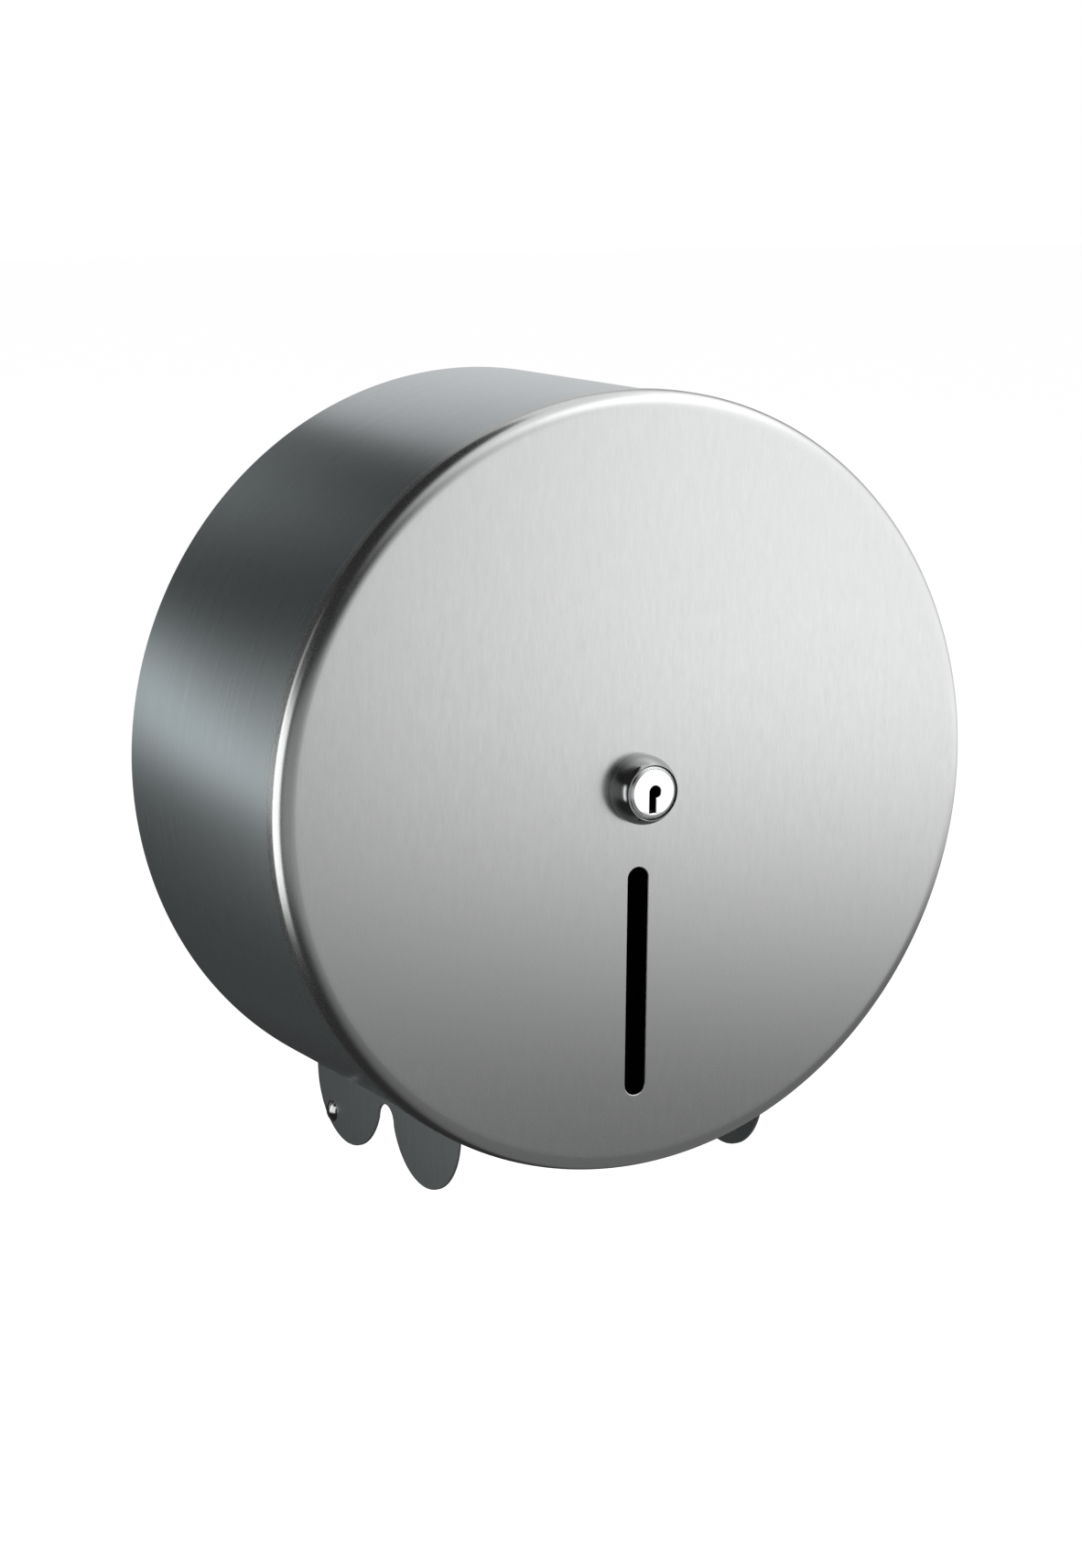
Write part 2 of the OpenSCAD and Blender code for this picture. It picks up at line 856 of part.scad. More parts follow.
back_pan();
drum_wall();
tear_plate(true);  // tear_plate_left
tear_plate(false);  // tear_plate_right
plate_bracket(true);  // plate_bracket_left
plate_bracket(false);  // plate_bracket_right
plate_rivets();
spindle_base();
base_rivets();
spindle_tube();
spindle_pins();
keeper_plate();
thrust_washer(base_front);  // rear_thrust_washer
thrust_washer(keeper_back - thrust_t);  // front_thrust_washer
roll_hub();
body_hinge_leaf();
hinge_pin();
hinge_rivets();
cover_hinge_leaf();
front_cover();
lock_bezel();
lock_housing();
lock_washer();
lock_nut();
lock_plug();
lock_cam();
cam_screw();
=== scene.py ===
import math

import bmesh
import bpy
from mathutils import Matrix, Vector
from mathutils.geometry import delaunay_2d_cdt


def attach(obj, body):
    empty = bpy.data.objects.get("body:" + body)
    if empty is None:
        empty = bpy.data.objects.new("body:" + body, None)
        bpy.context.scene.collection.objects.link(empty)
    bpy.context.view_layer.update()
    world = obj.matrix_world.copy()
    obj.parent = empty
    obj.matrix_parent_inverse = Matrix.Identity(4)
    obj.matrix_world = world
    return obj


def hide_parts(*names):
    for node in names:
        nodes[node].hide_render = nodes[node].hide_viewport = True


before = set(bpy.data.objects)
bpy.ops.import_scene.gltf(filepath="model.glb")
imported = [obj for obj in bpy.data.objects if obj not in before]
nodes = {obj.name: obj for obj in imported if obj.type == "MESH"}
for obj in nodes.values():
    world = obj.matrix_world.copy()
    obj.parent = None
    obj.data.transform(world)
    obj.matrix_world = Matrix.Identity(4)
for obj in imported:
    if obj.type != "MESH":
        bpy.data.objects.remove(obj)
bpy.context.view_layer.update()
scene = bpy.context.scene
mm = 0.001
print("frame loaded:", len(nodes), "nodes")


# view

view = {
    "place": (-0.62136, -1.16567, 0.23661),
    "yaw": 29.254,
    "pitch": -10.998,
    "roll": 0.612,
    "lens": 83.34,
    "sensorHeight": 36,
}


def placeCamera(name, settings):
    yaw, pitch, roll = (math.radians(settings[key]) for key in ("yaw", "pitch", "roll"))
    ahead = Vector((math.sin(yaw) * math.cos(pitch), math.cos(yaw) * math.cos(pitch), math.sin(pitch)))
    level = Vector((math.cos(yaw), -math.sin(yaw), 0))
    upright = level.cross(ahead)
    right = level * math.cos(roll) + upright * math.sin(roll)
    up = upright * math.cos(roll) - level * math.sin(roll)
    data = bpy.data.cameras.new(name)
    data.lens = settings["lens"]
    data.sensor_fit = "VERTICAL"
    data.sensor_height = settings["sensorHeight"]
    data.clip_end = 50
    camera = bpy.data.objects.new(name, data)
    turn = Matrix((right, up, -ahead)).transposed().to_4x4()
    camera.matrix_world = Matrix.Translation(settings["place"]) @ turn
    scene.collection.objects.link(camera)
    return camera


scene.camera = placeCamera("photoCamera", view)
scene.view_settings.view_transform = "Standard"


# shader arithmetic

class Wire:  # an output socket that takes plain arithmetic
    def __init__(self, graph, socket):
        self.graph = graph
        self.socket = socket

    def __add__(self, other):
        return self.graph.math("ADD", self, other)

    def __radd__(self, other):
        return self.graph.math("ADD", other, self)

    def __sub__(self, other):
        return self.graph.math("SUBTRACT", self, other)

    def __rsub__(self, other):
        return self.graph.math("SUBTRACT", other, self)

    def __mul__(self, other):
        return self.graph.math("MULTIPLY", self, other)

    def __rmul__(self, other):
        return self.graph.math("MULTIPLY", other, self)

    def __truediv__(self, other):
        return self.graph.math("DIVIDE", self, other)

    def __neg__(self):
        return self.graph.math("MULTIPLY", self, -1)


class Graph:
    def __init__(self, owner):
        owner.use_nodes = True
        self.tree = owner.node_tree
        self.tree.nodes.clear()

    def node(self, kind, settings=None, sockets=None):
        made = self.tree.nodes.new(kind)
        for key, value in (settings or {}).items():
            if key == "stops":
                self.setStops(made.color_ramp, value)
            else:
                setattr(made, key, value)
        for key, value in (sockets or {}).items():
            if isinstance(value, Wire):
                self.tree.links.new(value.socket, made.inputs[key])
            else:
                made.inputs[key].default_value = value
        return made

    def wire(self, kind, settings=None, sockets=None, out=0):
        return Wire(self, self.node(kind, settings, sockets).outputs[out])

    def math(self, operation, *terms):
        return self.wire("ShaderNodeMath", {"operation": operation}, dict(enumerate(terms)))

    def setStops(self, ramp, stops):
        while len(ramp.elements) < len(stops):
            ramp.elements.new(1)
        for element, (place, level) in zip(ramp.elements, stops):
            element.position = place
            element.color = (level, level, level, 1)

    def place(self):
        return self.wire("ShaderNodeTexCoord", out="Object")

    def split(self, vector):
        made = self.node("ShaderNodeSeparateXYZ", None, {0: vector})
        return [Wire(self, made.outputs[i]) for i in range(3)]

    def stretch(self, vector, scale):
        return self.wire("ShaderNodeMapping", None, {"Vector": vector, "Scale": scale})

    def noise(self, vector, detail=2, roughness=0.5):
        return self.wire("ShaderNodeTexNoise", None, {
            "Vector": vector, "Scale": 1, "Detail": detail, "Roughness": roughness})

    def window(self, value, centre, half, soft):
        # 1 within half of the centre, fading to 0 over the soft edge
        off = self.math("ABSOLUTE", value - centre)
        return self.wire("ShaderNodeMapRange", {"interpolation_type": "SMOOTHSTEP"}, {
            "Value": off, "From Min": half - soft, "From Max": half + soft, "To Min": 1, "To Max": 0})

    def between(self, value, low, high):
        return self.wire("ShaderNodeMapRange", None, {
            "Value": value, "From Min": 0, "From Max": 1, "To Min": low, "To Max": high})

    def blend(self, mask, first, second):
        # a Mix node keeps its colour inputs at 6 and 7 and its colour output at 2
        return self.wire("ShaderNodeMix", {"data_type": "RGBA"}, {0: mask, 6: first, 7: second}, out=2)

    def tint(self, value, colour):
        return self.wire("ShaderNodeVectorMath", {"operation": "SCALE"}, {0: colour, "Scale": value})

    def lookedAt(self):
        # 1 for what the camera sees straight, in a mirror or through a clear piece
        rays = self.node("ShaderNodeLightPath").outputs
        seen = self.math("MAXIMUM", Wire(self, rays["Is Camera Ray"]), Wire(self, rays["Is Glossy Ray"]))
        return self.math("MAXIMUM", seen, Wire(self, rays["Is Transmission Ray"]))

    def finish(self, shader, kind="ShaderNodeOutputMaterial"):
        self.node(kind, None, {"Surface": shader})


def rgba(colour):
    return (*colour, 1)


# room: floor, white background, soft lamps and the tent that the metal mirrors

room = {
    "floorLevel": -0.62,
    "floorSize": 30,
    "floorColour": (0.92, 0.92, 0.92),
    "floorLift": 0.3,
    "skyLevel": 0.75,
    "lamps": {
        "keyLamp": {"place": (-1.4, -1.3, 1.3), "size": 1.2, "watts": 26},
        "fillLamp": {"place": (1.7, -1.2, 1.1), "size": 1.6, "watts": 22},
    },
}

tent = {
    "centre": (0, -0.06, 0),
    "radius": 0.55,
    "segments": (96, 48),
    "dim": 0.035,
    "panels": [  # bearing and height of the middle, half spans and soft edges in degrees
        {"at": (57, 24), "span": (50, 39), "soft": (31, 12), "level": 1.45, "colour": (1, 1, 0.995)},
        {"at": (50, -56), "span": (80, 44), "soft": (25, 16), "level": 0.17, "colour": (1, 1, 1)},
        {"at": (-36, -4), "span": (30, 16), "soft": (12, 8), "level": 0.34, "colour": (0.97, 1, 1)},
        {"at": (-101, -6), "span": (24, 20), "soft": (5, 7), "level": 1.8, "colour": (0.99, 1, 1)},
        {"at": (-119, 2), "span": (9, 24), "soft": (4, 8), "level": 0.5, "colour": (1, 1, 0.97)},
        {"at": (-143, 0), "span": (6, 3), "soft": (4, 3), "slant": -1.6, "level": 2.4, "colour": (0.93, 1, 1)},
        {"at": (160, 20), "span": (24, 16), "soft": (12, 8), "level": 0.75, "colour": (1, 1, 1)},
        {"at": (-168, 20), "span": (12, 14), "soft": (8, 8), "level": 0.25, "colour": (0.95, 1, 1)},
        {"at": (-168, -32), "span": (28, 24), "soft": (10, 10), "level": 0.025, "colour": (0.9, 1, 1)},
        {"at": (75, 90), "span": (112, 45), "soft": (20, 20), "level": 1.1, "colour": (1, 1, 1)},
    ],
}


def buildSky(level):
    world = bpy.data.worlds.new("whiteRoom")
    scene.world = world
    g = Graph(world)
    light = g.wire("ShaderNodeBackground", None, {"Color": (1, 1, 1, 1), "Strength": level})
    white = g.wire("ShaderNodeBackground", None, {"Color": (1, 1, 1, 1), "Strength": 1})
    mixed = g.wire("ShaderNodeMixShader", None, {0: g.lookedAt(), 1: light, 2: white})
    g.finish(mixed, "ShaderNodeOutputWorld")


def buildFloor(settings):
    half = settings["floorSize"] / 2
    mesh = bpy.data.meshes.new("floor")
    z = settings["floorLevel"]
    corners = [(-half, -half, z), (half, -half, z), (half, half, z), (-half, half, z)]
    mesh.from_pydata(corners, [], [(0, 1, 2, 3)])
    floor = bpy.data.objects.new("floor", mesh)
    scene.collection.objects.link(floor)
    material = bpy.data.materials.new("palePaper")
    g = Graph(material)
    paper = g.wire("ShaderNodeBsdfDiffuse", None, {"Color": rgba(settings["floorColour"])})
    glow = g.lookedAt() * settings["floorLift"]
    lift = g.wire("ShaderNodeEmission", None, {"Color": (1, 1, 1, 1), "Strength": glow})
    g.finish(g.wire("ShaderNodeAddShader", None, {0: paper, 1: lift}))
    mesh.materials.append(material)


def hangLamps(lamps, target):
    for name, lamp in lamps.items():
        data = bpy.data.lights.new(name, "AREA")
        data.size = lamp["size"]
        data.energy = lamp["watts"]
        made = bpy.data.objects.new(name, data)
        made.location = lamp["place"]
        aim = Vector(target) - Vector(lamp["place"])
        made.rotation_euler = aim.to_track_quat("-Z", "Y").to_euler()
        made.visible_glossy = False  # the tent stands for the lamps in what the metal mirrors
        scene.collection.objects.link(made)


def buildTent(settings):
    mesh = bpy.data.meshes.new("lightTent")
    shape = bmesh.new()
    across, upwards = settings["segments"]
    bmesh.ops.create_uvsphere(shape, u_segments=across, v_segments=upwards, radius=settings["radius"])
    bmesh.ops.translate(shape, verts=shape.verts, vec=settings["centre"])
    bmesh.ops.reverse_faces(shape, faces=shape.faces)
    shape.to_mesh(mesh)
    shape.free()
    dome = bpy.data.objects.new("lightTent", mesh)
    scene.collection.objects.link(dome)
    material = bpy.data.materials.new("tentCloth")
    g = Graph(material)
    x, y, z = g.split(g.place())
    x, y, z = (axis - middle for axis, middle in zip((x, y, z), settings["centre"]))
    bearing = g.math("ARCTAN2", x, -y) * (180 / math.pi)
    height = g.math("ARCSINE", z / settings["radius"]) * (180 / math.pi)
    total = g.tint(settings["dim"], (1, 1, 1))
    for panel in settings["panels"]:
        spread = g.window(bearing, panel["at"][0], panel["span"][0], panel["soft"][0])
        middle = (bearing - panel["at"][0]) * panel.get("slant", 0) + panel["at"][1]
        rise = g.window(height, middle, panel["span"][1], panel["soft"][1])
        glow = g.tint(spread * rise * panel["level"], panel["colour"])
        total = g.wire("ShaderNodeVectorMath", {"operation": "ADD"}, {0: total, 1: glow})
    g.finish(g.wire("ShaderNodeEmission", None, {"Color": total, "Strength": 1}))
    mesh.materials.append(material)
    dome.visible_camera = False
    dome.visible_diffuse = False
    dome.visible_shadow = False
    dome.visible_transmission = False


buildSky(room["skyLevel"])
buildFloor(room)
hangLamps(room["lamps"], tent["centre"])
buildTent(tent)
print("room built")


# finishes

finishes = {
    "cover": {"colour": (0.55, 0.558, 0.556), "roughness": 0.26, "swing": 0.04, "contrast": 0.035,
              "grain": (2600, 2600, 170), "bump": 0.01},
    "drum": {"colour": (0.53, 0.57, 0.59), "roughness": 0.28, "swing": 0.012, "contrast": 0.045,
             "grain": (14, 2200, 14), "bump": 0.003},
    # plate: the steel with a darker base colour, partly painted shade for the plates hanging under the drum
    # and partly darker stock
    "plate": {"colour": (0.3, 0.32, 0.325), "roughness": 0.42, "swing": 0.04, "contrast": 0.12,
              "grain": (1800, 1800, 60), "bump": 0.02},
    "hinge": {"colour": (0.5, 0.51, 0.52), "roughness": 0.36, "swing": 0.04, "contrast": 0.1,
              "grain": (900, 900, 40), "bump": 0.02},
    # keyway: near-black colour is painted shade inside the keyhole's recess
    "keyway": {"colour": (0.03, 0.03, 0.032), "roughness": 0.5, "swing": 0.04, "contrast": 0.2,
               "grain": (900, 900, 60), "bump": 0.02},
    # inside: dark colour is painted shade for the inner skins of cover and drum and for the back pan
    "inside": {"colour": (0.12, 0.122, 0.125), "roughness": 0.5, "swing": 0.04, "contrast": 0.15,
               "grain": (14, 1500, 14), "bump": 0.02},
}


brushing = {
    "fineShare": 0.6, "wideShare": 0.3, "cloudShare": 0.1, "cloud": 14,
    "fastGrain": 200, "wideFast": 0.16, "wideSlow": 0.5,  # scales of the wide streaks, as shares
    "darkest": 0.3, "lightest": 0.7, "bumpStrength": 0.25,
}


def brushedSteel(name, settings):
    material = bpy.data.materials.new(name)
    g = Graph(material)
    place = g.place()
    along = settings["grain"]
    fine = g.noise(g.stretch(place, along), 3, 0.6)
    fast, slow = brushing["wideFast"], brushing["wideSlow"]
    wide = g.noise(g.stretch(place, [s * (fast if s > brushing["fastGrain"] else slow) for s in along]), 2)
    cloud = g.noise(g.stretch(place, [brushing["cloud"]] * 3), 2)
    streaks = fine * brushing["fineShare"] + wide * brushing["wideShare"] + cloud * brushing["cloudShare"]
    colour = settings["colour"]
    spread = settings["contrast"]
    dark = [c * (1 - spread) for c in colour]
    light = [min(c * (1 + spread), 1) for c in colour]
    stretched = g.wire("ShaderNodeMapRange", None, {
        "Value": streaks, "From Min": brushing["darkest"], "From Max": brushing["lightest"]})
    middle, swing = settings["roughness"], settings["swing"]
    roughness = g.between(stretched, middle + swing, middle - swing)
    bump = g.wire("ShaderNodeBump", None, {
        "Height": streaks, "Strength": brushing["bumpStrength"], "Distance": settings["bump"] * mm})
    g.finish(g.wire("ShaderNodeBsdfPrincipled", None, {
        "Base Color": g.blend(stretched, rgba(dark), rgba(light)),
        "Metallic": 1,
        "Roughness": roughness,
        "Normal": bump,
    }))
    return material


plating = {
    "mottle": 420, "smudge": 35, "mottleShare": 0.6, "smudgeShare": 0.4, "roughness": (0.22, 0.4),
    "dark": (0.44, 0.45, 0.46), "light": (0.64, 0.65, 0.66), "bump": 0.01, "bumpStrength": 0.2,
}


def platedSteel(name, settings):
    material = bpy.data.materials.new(name)
    g = Graph(material)
    place = g.place()
    mottle = g.noise(g.stretch(place, [settings["mottle"]] * 3), 3, 0.6)
    smudge = g.noise(g.stretch(place, [settings["smudge"]] * 3), 2)
    patches = mottle * settings["mottleShare"] + smudge * settings["smudgeShare"]
    bump = g.wire("ShaderNodeBump", None, {
        "Height": mottle, "Strength": settings["bumpStrength"], "Distance": settings["bump"] * mm})
    g.finish(g.wire("ShaderNodeBsdfPrincipled", None, {
        "Base Color": g.blend(patches, rgba(settings["dark"]), rgba(settings["light"])),
        "Metallic": 1,
        "Roughness": g.between(mottle, *settings["roughness"]),
        "Normal": bump,
    }))
    return material


chromes = {
    # lock: chrome with its base colour darkened as painted shade, so the bezel's reflections come out dark
    "lock": {"roughness": 0.05, "colour": (0.38, 0.384, 0.388)},
    "head": {"roughness": 0.12, "colour": (0.7, 0.71, 0.72)},
    "plug": {"roughness": 0.16, "colour": (0.95, 0.95, 0.96)},
}
polish = {"smear": 160, "dust": 3000, "smearShare": 0.7, "dustShare": 0.3, "darker": 0.96,
          "smoothest": 0.6, "roughest": 1.5}


def polishedChrome(name, settings):
    material = bpy.data.materials.new(name)
    g = Graph(material)
    place = g.place()
    colour, roughness = settings["colour"], settings["roughness"]
    smear = g.noise(g.stretch(place, [polish["smear"]] * 3), 2)
    dust = g.noise(g.stretch(place, [polish["dust"]] * 3), 1)
    handling = smear * polish["smearShare"] + dust * polish["dustShare"]
    g.finish(g.wire("ShaderNodeBsdfPrincipled", None, {
        "Base Color": g.blend(smear, rgba([c * polish["darker"] for c in colour]), rgba(colour)),
        "Metallic": 1,
        "Roughness": g.between(handling, roughness * polish["smoothest"], roughness * polish["roughest"]),
    }))
    return material


plastic = {
    "grit": 1400, "flow": (30, 12, 30), "roughness": (0.42, 0.58), "bump": 0.04, "bumpStrength": 0.3,
    "dark": (0.045, 0.045, 0.048), "light": (0.07, 0.07, 0.073),
}


def mouldedPlastic(name, settings):
    material = bpy.data.materials.new(name)
    g = Graph(material)
    place = g.place()
    grit = g.noise(g.stretch(place, [settings["grit"]] * 3), 2, 0.6)
    flow = g.noise(g.stretch(place, settings["flow"]), 2)
    bump = g.wire("ShaderNodeBump", None, {
        "Height": grit, "Strength": settings["bumpStrength"], "Distance": settings["bump"] * mm})
    g.finish(g.wire("ShaderNodeBsdfPrincipled", None, {
        "Base Color": g.blend(flow, rgba(settings["dark"]), rgba(settings["light"])),
        "Roughness": g.between(grit, *settings["roughness"]),
        "Normal": bump,
    }))
    return material


coverSteel = brushedSteel("coverSteel", finishes["cover"])
drumSteel = brushedSteel("drumSteel", finishes["drum"])
shadedPlateSteel = brushedSteel("shadedPlateSteel", finishes["plate"])
hingeSteel = brushedSteel("hingeSteel", finishes["hinge"])
shadedInsideSteel = brushedSteel("shadedInsideSteel", finishes["inside"])
shadedKeywaySteel = brushedSteel("shadedKeywaySteel", finishes["keyway"])
zincPlate = platedSteel("zincPlate", plating)
shadedLockChrome = polishedChrome("shadedLockChrome", chromes["lock"])
headChrome = polishedChrome("headChrome", chromes["head"])
plugChrome = polishedChrome("plugChrome", chromes["plug"])
hubPlastic = mouldedPlastic("hubPlastic", plastic)

nodeFinish = {
    "back_pan": shadedInsideSteel, "spindle_base": zincPlate, "base_rivets": zincPlate, "spindle_tube": zincPlate,
    "spindle_pins": zincPlate, "keeper_plate": zincPlate, "hinge_pin": zincPlate, "hinge_rivets": zincPlate,
    "lock_washer": zincPlate, "lock_nut": zincPlate, "lock_cam": zincPlate, "cam_screw": zincPlate,
    "rear_thrust_washer": hubPlastic, "front_thrust_washer": hubPlastic, "roll_hub": hubPlastic,
    "body_hinge_leaf": hingeSteel, "cover_hinge_leaf": hingeSteel,
    "front_cover": coverSteel, "drum_wall": drumSteel, "tear_plate_left": shadedPlateSteel,
    "tear_plate_right": shadedPlateSteel, "plate_bracket_left": shadedPlateSteel, "plate_bracket_right": shadedPlateSteel,
    "plate_rivets": shadedLockChrome, "lock_bezel": shadedLockChrome,
    "lock_housing": headChrome, "lock_plug": plugChrome,
}
for name, material in nodeFinish.items():
    for slot in nodes[name].material_slots:
        slot.material = material
print("finishes made")


# shared ways of making a piece

def arc(centre, radius, start, end, steps):
    # points on an arc, angles in degrees from the first axis
    angles = [math.radians(start + (end - start) * i / steps) for i in range(steps + 1)]
    return [(centre[0] + radius * math.cos(a), centre[1] + radius * math.sin(a)) for a in angles]


def spot(x, z, depth):
    return (x * mm, -depth * mm, z * mm)


def addLoop(shape, points, depth):
    return [shape.verts.new(spot(x, z, depth)) for x, z in points]


def join(shape, first, second):
    count = len(first)
    for i in range(count):
        j = (i + 1) % count
        shape.faces.new((first[i], first[j], second[j], second[i]))


def fill(shape, outer, holes):
    # flat face between one outer loop and any holes, all at one depth
    loops = [outer, *holes]
    verts = [v for loop in loops for v in loop]
    flat = [Vector((v.co.x, v.co.z)) for v in verts]
    edges = []
    start = 0
    for loop in loops:
        edges += [(start + i, start + (i + 1) % len(loop)) for i in range(len(loop))]
        start += len(loop)
    faces = delaunay_2d_cdt(flat, edges, [], 0, 1e-9)[2]
    holeAreas = [[Vector((v.co.x, v.co.z)) for v in loop] for loop in holes]
    outline = [Vector((v.co.x, v.co.z)) for v in outer]
    for face in faces:
        middle = sum((flat[i] for i in face), Vector((0, 0))) / len(face)
        if inside(middle, outline) and not any(inside(middle, area) for area in holeAreas):
            shape.faces.new([verts[i] for i in face])


def inside(point, loop):
    hit = False
    for a, b in zip(loop, loop[1:] + loop[:1]):
        if (a.y > point.y) != (b.y > point.y):
            if point.x < (b.x - a.x) * (point.y - a.y) / (b.y - a.y) + a.x:
                hit = not hit
    return hit


def grow(points, amount):
    # moves a counter-clockwise outline outwards
    made = []
    for i, point in enumerate(points):
        before = Vector(points[i]) - Vector(points[i - 1])
        after = Vector(points[(i + 1) % len(points)]) - Vector(point)
        before.normalize()
        after.normalize()
        turn = before + after
        turn.normalize()
        reach = amount / max(turn.dot(before), 0.35)
        made.append((point[0] + turn.y * reach, point[1] - turn.x * reach))
    return made


def circleLoop(radius, count, centre=(0, 0)):
    return [(centre[0] + radius * math.cos(a), centre[1] + radius * math.sin(a))
            for a in (2 * math.pi * i / count for i in range(count))]


def roundedRim(shape, points, outwards, front, back, edge, steps=3):
    # side wall of an outline with small rounds at both faces: returns the loops that the faces meet
    turns = [math.pi / 2 * i / steps for i in range(steps + 1)]
    ring = [(turn, front, -1) for turn in turns] + [(turn, back, 1) for turn in reversed(turns)]
    loops = []
    for turn, face, inwards in ring:
        outline = grow(points, -outwards * edge * (1 - math.sin(turn)))
        loops.append(addLoop(shape, outline, face + inwards * edge * (1 - math.cos(turn))))
    for first, second in zip(loops, loops[1:]):
        join(shape, first, second)
    return loops[0], loops[-1]


def plateShape(outline, holes, front, back, edge):
    shape = bmesh.new()
    outerFront, outerBack = roundedRim(shape, outline, 1, front, back, edge)
    holeLoops = [roundedRim(shape, hole, -1, front, back, edge) for hole in holes]
    fill(shape, outerFront, [loop[0] for loop in holeLoops])
    fill(shape, outerBack, [loop[1] for loop in holeLoops])
    return shape


def turnedPiece(name, profile, materials, count=192):
    # a closed outline of radius and depth turned about the drum's axis
    shape = bmesh.new()
    loops = [addLoop(shape, circleLoop(radius, count), depth) for radius, depth in profile]
    for first, second in zip(loops, loops[1:] + loops[:1]):
        join(shape, first, second)
    return finishPiece(name, shape, materials)


def finishPiece(name, shape, materials, sharp=32):
    bmesh.ops.remove_doubles(shape, verts=shape.verts, dist=1e-7)
    bmesh.ops.recalc_face_normals(shape, faces=shape.faces)
    mesh = bpy.data.meshes.new(name)
    shape.to_mesh(mesh)
    shape.free()
    for polygon in mesh.polygons:
        polygon.use_smooth = True
    mesh.set_sharp_from_angle(angle=math.radians(sharp))
    for material in materials:
        mesh.materials.append(material)
    piece = bpy.data.objects.new(name, mesh)
    scene.collection.objects.link(piece)
    weighted = piece.modifiers.new("evenShading", "WEIGHTED_NORMAL")
    weighted.keep_sharp = True
    weighted.weight = 100
    return piece


def stadium(width, top, bottom, steps=20):
    half = width / 2
    return arc((0, bottom + half), half, 180, 360, steps) + arc((0, top - half), half, 0, 180, steps)


# cover

cover = {
    "radius": 135, "face": 125, "sheet": 1, "bend": 6, "bendFlat": 1.5, "rearEdge": 115,
    "count": 288, "bendSteps": 14, "lipSteps": 6, "holeCount": 64,
    "slotWidth": 8, "slotTop": -27.5, "slotBottom": -108, "lockHole": 8.1, "edge": 0.35,
    "lockClear": 12,  # the inside's painted shade starts this far from the axis
}


def buildCover(settings):
    radius, face, sheet, bend = (settings[key] for key in ("radius", "face", "sheet", "bend"))
    count = settings["count"]
    steps = settings["bendSteps"]
    shape = bmesh.new()
    holes = [stadium(settings["slotWidth"], settings["slotTop"], settings["slotBottom"]),
             circleLoop(settings["lockHole"], settings["holeCount"])]
    holeLoops = [roundedRim(shape, hole, -1, face, face - sheet, settings["edge"]) for hole in holes]
    middle = (radius - bend, face - bend)
    flatEdge = radius - bend - settings["bendFlat"]
    outer = [(flatEdge, face)] + arc(middle, bend, 90, 0, steps)
    hem = settings["rearEdge"]
    half = sheet / 2
    lip = arc((radius - half, hem + half), half, 0, -180, settings["lipSteps"])
    inner = arc(middle, bend - sheet, 0, 90, steps) + [(flatEdge, face - sheet)]
    loops = [addLoop(shape, circleLoop(r, count), a) for r, a in outer + lip + inner]
    for first, second in zip(loops, loops[1:]):
        join(shape, first, second)
    fill(shape, loops[0], [loop[0] for loop in holeLoops])
    fill(shape, loops[-1], [loop[1] for loop in holeLoops])
    piece = finishPiece("coverShell", shape, [coverSteel, shadedInsideSteel])
    # faces on the inside of the cover take the painted shade
    for polygon in piece.data.polygons:
        middle, normal = polygon.center, polygon.normal
        reach = math.hypot(middle.x, middle.z) / mm
        inwards = normal.y > 0.3 or normal.x * middle.x + normal.z * middle.z < 0
        behind = -middle.y / mm < face - 0.6 * sheet
        if inwards and behind and settings["lockClear"] < reach < radius - 0.2 * sheet:
            polygon.material_index = 1
    return piece


coverShell = buildCover(cover)
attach(coverShell, "cover")
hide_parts("front_cover")
print("cover built")


# drum

drum = {
    "radius": 133.7, "sheet": 1, "front": 123.6, "lip": 8, "bend": 5, "count": 288, "bendSteps": 8,
    "outletHalf": 34, "outletBack": 14, "outletFront": 110, "outletColumns": 24,
    "rows": (38, 62, 86),  # depths that split the wall between the outlet's back and front
}


